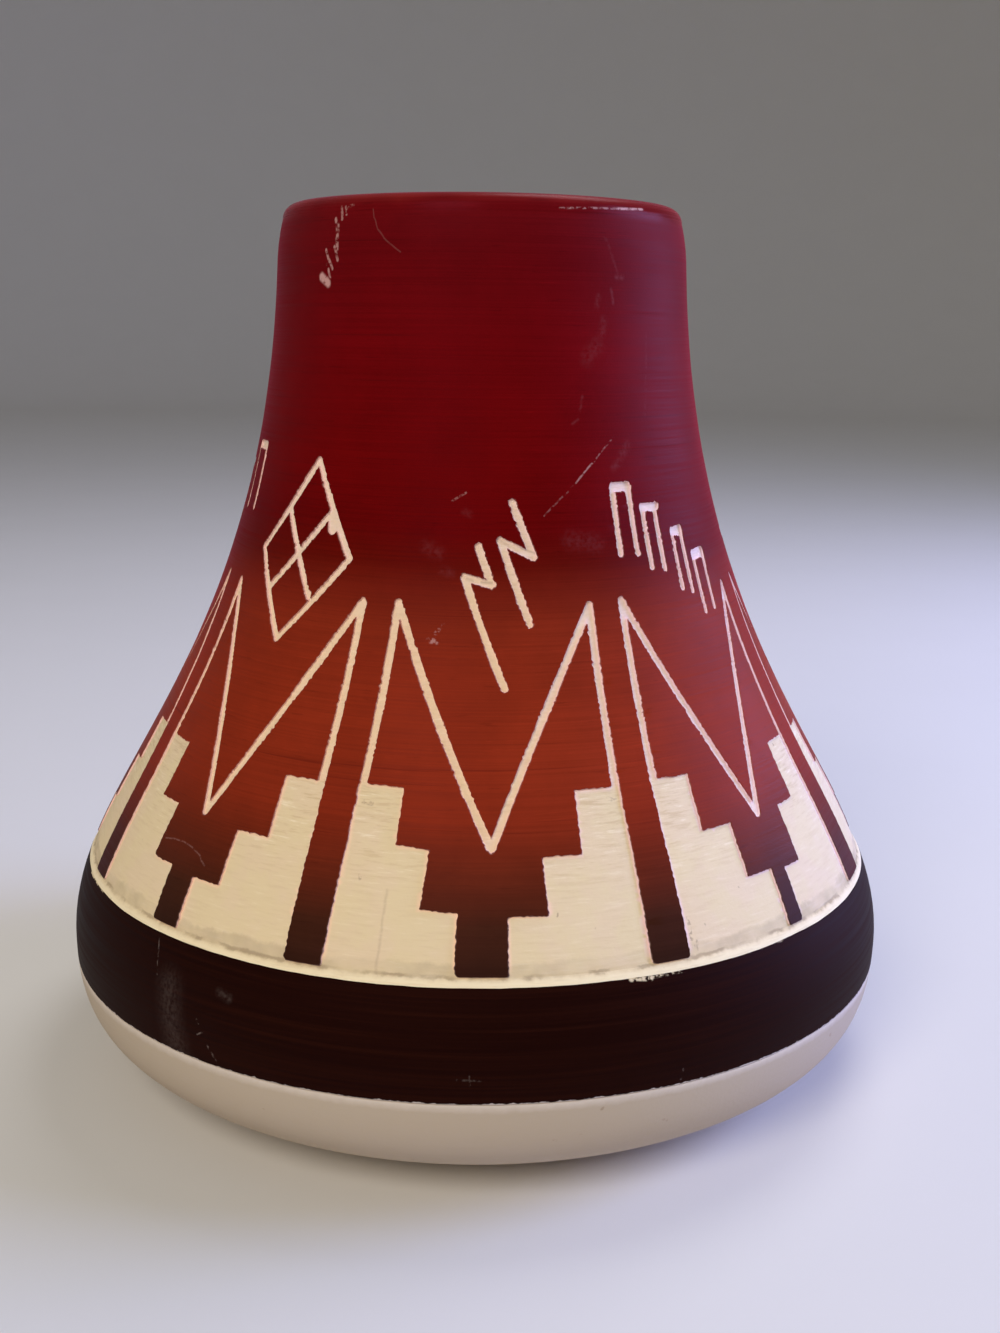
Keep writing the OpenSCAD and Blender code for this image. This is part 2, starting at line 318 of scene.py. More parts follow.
def smoothMin(a, b, size):
    blend = np.clip(0.5 + 0.5 * (b - a) / size, 0, 1)
    return b + (a - b) * blend - size * blend * (1 - blend)


def bumpNoise(turn, z, radius, size, seed, step=None):
    spots = np.column_stack([
        (radius * np.sin(np.radians(turn))).ravel() / size + seed,
        (radius * np.cos(np.radians(turn))).ravel() / size,
        z.ravel() / (step or size)])
    return np.array([noise.noise(p) for p in spots]).reshape(turn.shape)


def carveField(index, turn, z):
    radius, length = outerR(z), slant(z)
    lineField, stepField = np.full(turn.shape, far), np.full(turn.shape, far)
    low, high = postTurns[index] - grain["reach"], postTurns[index + 1] + grain["reach"]
    for near in (index - 1, index, index + 1):
        strokes, areas = carving[near % len(sectors)]
        lap = 360 * (near // len(sectors))
        for points, width in strokes + [(area, 0) for area in areas]:  # areas have no width
            points = [(a + lap, h) for a, h in points]
            if max(points)[0] <= low or min(points)[0] >= high:
                continue
            edge = np.full(turn.shape, far)
            for ends in zip(points, points[1:] + ([] if width else points[:1])):
                edge = np.minimum(edge, segmentDistance(turn, radius, length, *ends))
            if width:
                lineField = np.minimum(lineField, edge - width / 2)
            else:
                stepField = np.minimum(stepField, np.where(insideArea(turn, z, points), -edge, edge))
    stepField = smoothMin(stepField, length - slant(slipLow - grain["footDrop"]), grain["cornerEase"])
    stepField += grain["stepChatter"] * bumpNoise(turn, z, radius, grain["stepChatterSize"], seeds["step"])
    nicked = 0.45 + bumpNoise(turn, z, radius, grain["chatterRun"], seeds["nick"])
    nicked = np.clip(nicked, grain["clean"], 1)  # rough and clean stretches
    chatter = grain["lineChatter"] * nicked
    lineField += chatter * bumpNoise(turn, z, radius, grain["lineChatterSize"], seeds["line"])
    stray = grain["wander"] * bumpNoise(turn, z, radius, grain["wanderSize"], seeds["wander"])
    field = np.minimum(lineField, stepField) + stray
    field = np.minimum(field, length - slant(carveLow) - grain["footGap"])  # the bevel stays bare
    return field, stepField - lineField  # the second is above zero in thin lines


def besidePosts(index, turn, z):  # distance to the nearest post's edge
    radius, length = outerR(z), slant(z)
    return np.min([segmentDistance(turn, radius, length, *area[:2]) for area in carving[index][1]], axis=0)


keepOff = 0.12  # of a cell, between a traced point and the grid's corners


def traceLevel(field, level):
    g = field - level
    g = np.where(np.abs(g) < 1e-6, 1e-6, g)
    up = g > 0
    across, along = up[:, :-1] != up[:, 1:], up[:-1, :] != up[1:, :]
    acrossId, alongId = np.full(across.shape, -1), np.full(along.shape, -1)
    i, j = np.nonzero(across)
    acrossId[i, j] = np.arange(len(i))
    share = np.clip(g[i, j] / (g[i, j] - g[i, j + 1]), keepOff, 1 - keepOff)
    points = [np.column_stack([j + share, i])]
    k, m = np.nonzero(along)
    alongId[k, m] = len(i) + np.arange(len(k))
    share = np.clip(g[k, m] / (g[k, m] - g[k + 1, m]), keepOff, 1 - keepOff)
    points.append(np.column_stack([m, k + share]))
    around = np.stack([acrossId[:-1], alongId[:, 1:], acrossId[1:], alongId[:, :-1]], -1).reshape(-1, 4)
    count = (around >= 0).sum(1)
    pairs = around[count == 2]
    links = pairs[pairs >= 0].reshape(-1, 2).tolist()
    for cell in np.nonzero(count == 4)[0]:
        row, col = divmod(int(cell), up.shape[1] - 1)
        low, right, high, left = around[cell].tolist()
        joined = (g[row:row + 2, col:col + 2].mean() > 0) == up[row, col]
        links += [[low, right], [high, left]] if joined else [[low, left], [high, right]]
    return np.vstack(points), links


def triangulate(spots, kind, links, cellU, cellV, cutLinks):
    flat = [Vector((float(c) * cellU, float(r) * cellV)) for c, r in spots]
    verts, edges, faces, origin, edgeOrigin, _ = delaunay_2d_cdt(flat, links, [], 0, 1e-5, True)
    spots = np.array([(v.x / cellU, v.y / cellV) for v in verts])
    tris = np.array([f[:3] for f in faces if len(f) == 3])
    a, b, c = (spots[tris[:, k]] for k in range(3))
    turned = (b[:, 0] - a[:, 0]) * (c[:, 1] - a[:, 1]) < (b[:, 1] - a[:, 1]) * (c[:, 0] - a[:, 0])
    tris[turned] = tris[turned][:, ::-1]
    rim = {(min(e), max(e)) for e, o in zip(edges, edgeOrigin) if any(k < cutLinks for k in o)}
    return spots, tris, np.array([kind[o[0]] if o else 0 for o in origin]), rim


def standing(tris, level, rim):  # faces where the slip is left: the side changes across each cut edge
    beside = {}
    for k, (a, b, c) in enumerate(tris.tolist()):
        for e in ((a, b), (b, c), (c, a)):
            beside.setdefault((min(e), max(e)), []).append(k)
    nextTo = [[] for k in range(len(tris))]
    for e, pair in beside.items():
        if len(pair) == 2:
            way = -1 if e in rim else 1
            nextTo[pair[0]].append((pair[1], way))
            nextTo[pair[1]].append((pair[0], way))
    side = np.where((level[tris] == 1).any(1), 1, np.where((level[tris] == -1).any(1), -1, 0)).tolist()
    waiting = [k for k, s in enumerate(side) if s]
    while waiting:
        k = waiting.pop()
        for other, way in nextTo[k]:
            if not side[other]:
                side[other] = side[k] * way
                waiting.append(other)
    return tris[np.array(side) > 0]


def islands(tris, count):  # groups of faces that share corners
    parent = list(range(count))

    def root(a):
        while parent[a] != a:
            parent[a] = parent[parent[a]]
            a = parent[a]
        return a

    for a, b, c in tris.tolist():
        ra = root(a)
        parent[root(b)] = ra
        parent[root(c)] = root(ra)
    label = np.array([root(a) for a in tris[:, 0].tolist()])
    return [np.nonzero(label == k)[0] for k in np.unique(label)]


# unrolled sheets: turn in degrees, rise and girth in mm
def newSheet():
    return {"turn": [], "rise": [], "girth": [], "worn": [], "faces": [], "bare": [], "count": 0}


def addPart(sheet, turn, rise, girth, faces, worn=0.0, bare=False):
    used, places = np.unique(np.array(faces), return_inverse=True)  # only the points that have faces
    for key, values in (("turn", turn), ("rise", rise), ("girth", girth), ("worn", worn)):
        sheet[key].append(np.broadcast_to(np.asarray(values, float), (len(turn),))[used])
    sheet["faces"] += (places.reshape(len(faces), -1) + sheet["count"]).tolist()
    sheet["bare"] += [bare] * len(faces)
    sheet["count"] += len(used)


handWaver = [(9, 4.7, 1.0), (34, 1.3, 0.6)]  # waves, seed, share


def edgeWaver(turn):  # how far a hand turned edge strays, in shares of its allowance
    return np.array([sum(share * noise.noise((math.sin(a) * waves, math.cos(a) * waves, seed))
                         for waves, seed, share in handWaver) for a in np.radians(turn)])


def addTurned(sheet, path, closed=False):
    waver = edgeWaver(columnTurns)
    points = [tuple(p) + (0.0,) * (3 - len(p)) for p in path]  # r, z, allowance
    if closed:
        points.append(points[0])
    cols, rows = len(columnTurns), len(points)
    turn = np.tile(columnTurns, rows)
    girth = np.concatenate([np.full(cols, r) for r, z, w in points])
    rise = np.concatenate([z + w * waver for r, z, w in points])
    faces = [(i * cols + j, i * cols + j + 1, (i + 1) * cols + j + 1, (i + 1) * cols + j)
             for i in range(rows - 1) for j in range(cols - 1)]
    addPart(sheet, turn, rise, girth, faces)


clay, coats = newSheet(), {}


def coatName(index, turn, z, tops, edges):
    sector = sectors[index]
    if tops or edges:
        return "field"
    if sector["sign"] == "diamond" and np.mean(z) > diamondCuts["low"]:
        way = -1 if sector.get("signTurned") else 1
        middle = (postTurns[index] + postTurns[index + 1]) / 2
        signTurn, signZ = diamondCuts["middle"]
        dx = (np.mean(turn) - middle - way * signTurn) * math.radians(outerR(signZ))
        dz = np.mean(z) - signZ
        place = ("right" if dx > 0 else "left") if abs(dx) > abs(dz) else ("top" if dz > 0 else "bottom")
        return f"diamond_{sector['panel']}_{place}"
    return f"panel_{sector['panel']}"


def carveSector(index):
    fine, wide, close = grain["perColumn"], grain["plainStep"], grain["cutStep"]
    turns = np.linspace(postTurns[index], postTurns[index + 1], fine * columnsPerPanel + 1)
    rows = wide * math.ceil((slant(carveTop) - slant(carveLow)) / grain["cell"] / wide)
    rises = np.interp(np.linspace(slant(carveLow), slant(carveTop), rows + 1), profileS, profileZ)
    grid, thin = carveField(index, *np.meshgrid(turns, rises))
    lastCol, lastRow = len(turns) - 1, len(rises) - 1
    cellU = math.radians(turns[1] - turns[0]) * outerR(grain["midZ"])
    cellV = (slant(carveTop) - slant(carveLow)) / rows

    border = [(c, r) for r in (0, lastRow) for c in range(0, lastCol + 1, fine)]
    border += [(c, r) for c in (0, lastCol) for r in range(wide, lastRow, wide)
               if abs(grid[r, c]) > grain["borderClear"]]
    borderKind = [1 if grid[r, c] > 0 else -1 for c, r in border]
    stand = [(c + wide // 2 * (r // wide % 2), r) for r in range(wide, lastRow - close, wide)
             for c in range(wide, lastCol - wide, wide)]
    stand = [(c, r) for c, r in stand if grid[r, c] > grain["plainClear"]]
    cut = [(c, r) for r in range(close, lastRow, close) for c in range(close, lastCol - 1, close)
           if -grid[r, c] > grain["lineClear" if thin[r, c] > grain["thin"] else "stepClear"]]

    edge, edgeLinks = traceLevel(grid, 0.0)
    ease, easeLinks = traceLevel(grid, pot["edgeEase"])

    def sampled(spots, grid=grid):
        c, r = np.clip(spots[:, 0], 0, lastCol - 1e-6), np.clip(spots[:, 1], 0, lastRow - 1e-6)
        ci, ri = c.astype(int), r.astype(int)
        fc, fr = c - ci, r - ri
        return ((grid[ri, ci] * (1 - fc) + grid[ri, ci + 1] * fc) * (1 - fr)
                + (grid[ri + 1, ci] * (1 - fc) + grid[ri + 1, ci + 1] * fc) * fr)

    def named(spots, tris, turn, z):
        groups = {}
        for part in islands(tris, len(spots)):
            used = np.unique(tris[part])
            onTop = (spots[used, 1] > lastRow - 1e-3).any()
            onSide = ((spots[used, 0] < 1e-3) | (spots[used, 0] > lastCol - 1e-3)).any()
            a, b, c = (spots[tris[part][:, k]] for k in range(3))
            (bx, by), (cx, cy) = (b - a).T, (c - a).T
            area = np.abs(bx * cy - by * cx).sum() / 2 * cellU * cellV
            if not onTop and not onSide and area < grain["flake"]:
                continue  # a loose flake falls off
            groups.setdefault(coatName(index, turn[used], z[used], onTop, onSide), []).append(tris[part])
        return {name: np.vstack(parts) for name, parts in groups.items()}

    def place(spots):
        return (np.interp(spots[:, 0], range(lastCol + 1), turns),
                np.interp(spots[:, 1], range(lastRow + 1), rises))

    # face of the slip, eased at its cut edges
    given = np.vstack([edge, ease, border, stand])
    kind = np.concatenate([np.zeros(len(edge)), np.full(len(ease), 0.5), borderKind, np.ones(len(stand))])
    links = edgeLinks + [[a + len(edge), b + len(edge)] for a, b in easeLinks]
    spots, tris, level, rim = triangulate(given, kind, links, cellU, cellV, len(edgeLinks))
    turn, z = place(spots)
    girth = outerR(z) - np.where(level == 0, pot["edgeEase"], 0)
    deep = outerR(z) - pot["slipT"]
    for name, faces in named(spots, standing(tris, level, rim), turn, z).items():
        sheet = coats.setdefault(name, newSheet())
        addPart(sheet, turn, z, girth, faces.tolist(), worn=(level == 0))
        walls = [e for a, b, c in faces.tolist() for e in ((a, b), (b, c), (c, a)) if (min(e), max(e)) in rim]
        count = len(turn)
        addPart(sheet, np.tile(turn, 2), np.tile(z, 2), np.concatenate([girth, deep]),
                [(a, a + count, b + count, b) for a, b in walls], worn=0.5, bare=True)

    # floor of the carving, and the clay behind the slip
    edgeSpots = np.unique(np.array(sorted(rim)))
    places = {k: n for n, k in enumerate(edgeSpots.tolist())}
    edge, edgeLinks = spots[edgeSpots], [[places[a], places[b]] for a, b in sorted(rim)]
    groove = traceLevel(grid, -grain["lineSlope"])[0]
    groove = groove[(sampled(groove, thin) > grain["thin"]) & (groove.min(1) > 1)
                    & (groove[:, 0] < lastCol - 1)]
    given = np.vstack([edge, border, stand, cut, groove])
    kind = np.concatenate([np.zeros(len(edge)), borderKind, np.ones(len(stand)),
                           -np.ones(len(cut) + len(groove))])
    spots, tris, level, rim = triangulate(given, kind, edgeLinks, cellU, cellV, len(edgeLinks))
    turn, z = place(spots)
    deep = outerR(z) - pot["slipT"]
    low = np.clip(1 - (z - carveLow) / grain["smearTop"], 0, 1)
    lump = bumpNoise(turn, z, deep, grain["smearSize"] * 2, seeds["smear"], grain["smearSize"])
    smear = np.maximum(0, 0.35 + lump)
    rough = (grain["tool"] * bumpNoise(turn, z, deep, grain["toolLength"], seeds["tool"], grain["toolStep"])
             + grain["groove"] * np.clip(2 - 2 * besidePosts(index, turn, z) / grain["grooveWidth"], 0, 1)
             - grain["smear"] * smear * low)
    inLine = np.clip(sampled(spots, thin) / grain["thinBlend"], 0, 1)
    dip = np.clip(-sampled(spots) / (2 * grain["lineSlope"]), 0, 1)
    rough += grain["lineDeep"] * inLine * dip * (2 - dip)
    inner = (level < 0) & (spots[:, 0] > 0.5) & (spots[:, 0] < lastCol - 0.5) & (spots[:, 1] > 0.5)
    pale = np.where(level >= 0, 1.0, 0.5 * inLine)
    addPart(clay, turn, z, deep - np.where(inner, rough, 0), tris.tolist(), worn=pale)
    for name, faces in named(spots, standing(tris, level, rim), turn, z).items():
        addPart(coats.setdefault(name, newSheet()), turn, z, deep, faces[:, ::-1].tolist())


for index in range(len(sectors)):
    carveSector(index)
print("carving cut:", len(coats), "coats left standing")

# turned parts that have no carving
slipT, ease, waver = pot["slipT"], pot["edgeEase"], pot["edgeWaver"]
neckFace = outside(carveTop, lipZ) + overLip(0) + inside(lipZ, slipEnd)
neckBack = outside(carveTop, lipZ, slipT) + overLip(slipT) + inside(lipZ, slipEnd, slipT)
addTurned(coats["field"], neckFace + neckBack[::-1])

# points are r, z and how far the edge may waver
hollow, footIn = pot["footHollow"], pot["footR"] - pot["footW"]
addTurned(clay, [(0, hollow), (footIn * 0.5, hollow), (footIn - hollow, hollow), (footIn - 0.3, 0.2),
                 (footIn + 0.4, 0), (pot["footR"] - pot["footEase"], 0), (outerR(0.25) - 0.2, 0.25)]
          + outside(0.9, bandLow - 0.3, step=pot["baseStep"])
          + [(outerR(bandLow) - 0.04, bandLow - 0.08, waver), (outerR(bandLow) - slipT, bandLow, waver)]
          + outside(bandLow + 1, bandTop - 1, slipT)
          + [(outerR(bandTop) - slipT, bandTop, waver), (outerR(bandTop) - 0.05, bandTop + 0.04, waver),
             (outerR(bandTop + 0.5) - 0.07, bandTop + 0.5, waver * 0.7),
             (outerR(bandTop + 1.0) - 0.2, bandTop + 1.0, waver), (outerR(carveLow) - slipT, carveLow)])
liningBack = inside(slipEnd, floorZ, pot["glazeT"], pot["hiddenStep"]) + potFloor(pot["glazeT"])
addTurned(clay, neckBack + liningBack)

lining, band = newSheet(), newSheet()
addTurned(lining, inside(slipEnd, floorZ) + potFloor(0) + liningBack[::-1], closed=True)
addTurned(band, [(outerR(bandLow) - slipT, bandLow, waver), (outerR(bandLow) - ease, bandLow, waver),
                 (outerR(bandLow + ease), bandLow + ease, waver)]
          + outside(bandLow + 0.9, bandTop - 0.9)
          + [(outerR(bandTop - ease), bandTop - ease, waver), (outerR(bandTop) - ease, bandTop, waver),
             (outerR(bandTop) - slipT, bandTop, waver)]
          + outside(bandLow + 1, bandTop - 1, slipT)[::-1], closed=True)
print("turned parts drawn")


# node work
class Bench:  # puts nodes on a tree and joins them up
    def __init__(self, tree):
        self.tree = tree

    def feed(self, slot, value):
        if isinstance(value, bpy.types.NodeSocket):
            self.tree.links.new(value, slot)
        else:
            slot.default_value = value

    def put(self, kind, settings=None, **inputs):
        node = self.tree.nodes.new(kind)
        for key, value in (settings or {}).items():
            setattr(node, key, value)
        for key, value in inputs.items():
            place = int(key[1:]) if key[0] == "_" else key.replace("_", " ")
            self.feed(node.inputs[place], value)
        return node

    def math(self, kind, a, b=None):
        node = self.put("ShaderNodeMath", {"operation": kind}, _0=a)
        if b is not None:
            self.feed(node.inputs[1], b)
        return node.outputs[0]

    def times(self, *values):
        total = values[0]
        for value in values[1:]:
            total = self.math("MULTIPLY", total, value)
        return total

    def vector(self, kind, a, b):
        node = self.put("ShaderNodeVectorMath", {"operation": kind}, _0=a, _1=b)
        return node.outputs["Value" if kind in ("DOT_PRODUCT", "DISTANCE") else 0]

    def split(self, value):
        return self.put("ShaderNodeSeparateXYZ", _0=value).outputs

    def join(self, x, y, z=0.0):
        return self.put("ShaderNodeCombineXYZ", _0=x, _1=y, _2=z).outputs[0]

    def noise(self, spot, scale, detail=2.0, rough=0.5, stretch=None):
        if stretch:
            spot = self.put("ShaderNodeMapping", Vector=spot, Scale=stretch).outputs[0]
        node = self.put("ShaderNodeTexNoise", Vector=spot, Scale=scale, Detail=detail, Roughness=rough)
        return node.outputs["Fac"]

    def span(self, value, low, high, outLow=0.0, outHigh=1.0):
        return self.put("ShaderNodeMapRange", {"interpolation_type": "SMOOTHSTEP"}, Value=value, From_Min=low,
                        From_Max=high, To_Min=outLow, To_Max=outHigh).outputs[0]


def addSockets(tree, way, kind, *names):
    made = [tree.interface.new_socket(name, in_out=way, socket_type="NodeSocket" + kind) for name in names]
    return {socket.name: socket.identifier for socket in made}


def putOut(name, data):  # a new object, linked to the scene
    thing = bpy.data.objects.new(name, data)
    bpy.context.scene.collection.objects.link(thing)
    return thing


# wheel: bends an unrolled sheet round the pot and gives it the throwing rings
wheel = {"Ring Depth": 0.10 * mm, "Ring Spacing": 7.0 * mm, "Seed": 3.0, "Weld": 0.004 * mm}
ringSway, stillR = 0.35, 20 * mm


def buildWheel():
    tree = bpy.data.node_groups.new("wheel", "GeometryNodeTree")
    addSockets(tree, "INPUT", "Geometry", "Geometry")
    inputs = addSockets(tree, "INPUT", "Material", "Slip", "Bare Clay")
    inputs |= addSockets(tree, "INPUT", "Float", *wheel)
    addSockets(tree, "OUTPUT", "Geometry", "Geometry")
    b = Bench(tree)
    given = b.put("NodeGroupInput").outputs

    def named(name, kind):
        return b.put("GeometryNodeInputNamedAttribute", {"data_type": kind}, Name=name).outputs["Attribute"]

    turn, rise, _ = b.split(b.put("GeometryNodeInputPosition").outputs[0])
    girth = named("girth", "FLOAT")
    sine, cosine = b.math("SINE", turn), b.math("COSINE", turn)
    ringSpot = b.join(b.times(sine, ringSway), b.times(cosine, ringSway),
                      b.math("DIVIDE", rise, given["Ring Spacing"]))
    ring = b.put("ShaderNodeTexNoise", {"noise_dimensions": "4D"}, Vector=ringSpot, W=given["Seed"],
                 Scale=1.0, Detail=1.0).outputs["Fac"]
    fade = b.math("MINIMUM", b.math("DIVIDE", girth, stillR), 1.0)  # nothing moves at the middle
    radius = b.math("SUBTRACT", girth, b.times(ring, given["Ring Depth"], fade))
    spot = b.join(b.times(radius, sine), b.times(radius, cosine, -1.0), rise)
    bend = b.put("GeometryNodeSetPosition", Geometry=given["Geometry"], Position=spot)
    weld = b.put("GeometryNodeMergeByDistance", Geometry=bend.outputs[0], Distance=given["Weld"])
    real = b.put("GeometryNodeRealizeInstances", Geometry=weld.outputs[0])
    slip = b.put("GeometryNodeSetMaterial", Geometry=real.outputs[0], Material=given["Slip"])
    bare = b.put("GeometryNodeSetMaterial", Geometry=slip.outputs[0], Material=given["Bare Clay"],
                 Selection=named("bare", "BOOLEAN"))
    b.put("NodeGroupOutput", _0=bare.outputs[0])
    return tree, inputs


wheelTree, wheelSockets = buildWheel()


def turnSheet(sheet, name, slip, ground, sharp=28):
    mesh = bpy.data.meshes.new(name)
    joined = {key: np.concatenate(sheet[key]) for key in ("turn", "rise", "girth", "worn")}
    spots = np.column_stack([np.radians(joined["turn"]), joined["rise"] * mm, np.zeros(sheet["count"])])
    mesh.from_pydata(spots.tolist(), [], sheet["faces"])
    for key, kind, home, values in (("girth", "FLOAT", "POINT", np.float32(joined["girth"] * mm)),
                                    ("worn", "FLOAT", "POINT", np.float32(joined["worn"])),
                                    ("bare", "BOOLEAN", "FACE", np.array(sheet["bare"], bool))):
        mesh.attributes.new(key, kind, home).data.foreach_set("value", values)
    piece = putOut(name, mesh)
    turning = piece.modifiers.new("wheel", "NODES")
    turning.node_group = wheelTree
    for key, value in {**wheel, "Slip": slip, "Bare Clay": ground}.items():
        turning[wheelSockets[key]] = value
    done = bpy.data.meshes.new_from_object(piece.evaluated_get(bpy.context.evaluated_depsgraph_get()))
    piece.modifiers.clear()
    piece.data = done
    bpy.data.meshes.remove(mesh)
    done.name = name
    done.polygons.foreach_set("use_smooth", np.ones(len(done.polygons), bool))
    done.set_sharp_from_angle(angle=math.radians(sharp))
    return piece


# scrape: one ragged mark on the pot's face, drawn from one place to another
scrape = {"ragged": (1400, 3), "frayed": (420, 3), "fray": 0.8 * mm, "soft": (0.2, 0.5), "gapEdge": 0.2}


def buildScrape():
    tree = bpy.data.node_groups.new("scrape", "ShaderNodeTree")
    addSockets(tree, "INPUT", "Vector", "Vector")
    addSockets(tree, "INPUT", "Float", "From Turn", "From Rise", "To Turn", "To Rise",
               "Width", "Gaps", "Blur", "Girth")
    addSockets(tree, "OUTPUT", "Float", "Mark")
    b = Bench(tree)
    given = b.put("NodeGroupInput").outputs
    x, y, rise = b.split(given["Vector"])
    turn = b.math("ARCTAN2", x, b.times(y, -1.0))

    def place(turn, rise):  # metres along and up the face
        return b.join(b.times(turn, given["Girth"]), rise)

    start, end = (place(b.math("RADIANS", given[k + " Turn"]), b.times(given[k + " Rise"], mm))
                  for k in ("From", "To"))
    ragged = b.noise(given["Vector"], *scrape["ragged"])
    fray = b.times(b.math("SUBTRACT", b.noise(given["Vector"], *scrape["frayed"]), 0.5), scrape["fray"])
    here = b.vector("ADD", place(turn, rise), b.join(fray, 0.0))
    run, reach = b.vector("SUBTRACT", end, start), b.vector("SUBTRACT", here, start)
    share = b.math("DIVIDE", b.vector("DOT_PRODUCT", reach, run), b.vector("DOT_PRODUCT", run, run))
    share = b.math("MINIMUM", b.math("MAXIMUM", share, 0.0), 1.0)
    along = b.put("ShaderNodeVectorMath", {"operation": "SCALE"}, Vector=run, Scale=share).outputs[0]
    away = b.math("DIVIDE", b.vector("DISTANCE", reach, along), b.times(given["Width"], mm))
    softFrom, softTo = scrape["soft"]
    solid = b.span(away, b.math("SUBTRACT", softFrom, given["Blur"]), softTo, 1.0, 0.0)
    gapEnd = b.math("ADD", b.math("ADD", given["Gaps"], scrape["gapEdge"]), given["Blur"])
    b.put("NodeGroupOutput", _0=b.times(solid, b.span(ragged, given["Gaps"], gapEnd)))
    return tree


scrapeTree = buildScrape()


# finishes
def tint(r, g, b):  # colour as seen on a screen, 0 to 255
    return [((c / 255 + 0.055) / 1.055)**2.4 if c > 10 else c / 255 / 12.92 for c in (r, g, b)] + [1.0]


class Finish(Bench):
    def __init__(self, name):
        self.material = bpy.data.materials.new(name)
        self.material.use_nodes = True
        super().__init__(self.material.node_tree)
        self.shader = self.tree.nodes["Principled BSDF"]
        self.coords = self.put("ShaderNodeTexCoord").outputs["Object"]
        self.height = self.math("DIVIDE", self.split(self.coords)[2], mm)  # mm above the foot

    def grain(self, *look):  # scale, detail, roughness, stretch
        return self.noise(self.coords, *look)

    def uneven(self, reach, *look):  # height that strays by a share of reach
        stray = self.times(self.math("SUBTRACT", self.grain(*look), 0.5), reach)
        return self.math("ADD", self.height, stray)

    def mix(self, share, a, b):
        a, b = (tint(*c) if isinstance(c, tuple) else c for c in (a, b))
        return self.put("ShaderNodeMix", {"data_type": "RGBA"}, _0=share, _6=a, _7=b).outputs[2]

    def lift(self, colour, value):
        return self.put("ShaderNodeHueSaturation", Value=value, Color=colour).outputs[0]

    def ramp(self, height, stops):
        node = self.put("ShaderNodeValToRGB", _0=self.math("DIVIDE", height, potHeight))
        while len(node.color_ramp.elements) < len(stops):
            node.color_ramp.elements.new(0.5)
        for element, (place, colour) in zip(node.color_ramp.elements, stops):
            element.position, element.color = place / potHeight, tint(*colour)
        return node.outputs[0]

    def attribute(self, name):
        return self.put("ShaderNodeAttribute", {"attribute_name": name}).outputs["Fac"]

    def scrapes(self, girth, marks, blur=0.0):
        total = 0.0
        for points, width, gaps, weight in marks:
            for (fromTurn, fromRise), (toTurn, toRise) in zip(points[:-1], points[1:]):
                node = self.put("ShaderNodeGroup", {"node_tree": scrapeTree}, Vector=self.coords,
                                Girth=girth * mm, Width=width, Gaps=gaps, Blur=blur, From_Turn=fromTurn,
                                From_Rise=fromRise, To_Turn=toTurn, To_Rise=toRise)
                total = self.math("MAXIMUM", self.times(node.outputs[0], weight), total)
        return total

    def bump(self, height, depth, normal=None):
        node = self.put("ShaderNodeBump", Height=height, Distance=depth * mm, Strength=1.0)
        if normal is not None:
            self.feed(node.inputs["Normal"], normal)
        return node.outputs[0]

    def set(self, **inputs):
        for key, value in inputs.items():
            self.feed(self.shader.inputs[key.replace("_", " ")], value)


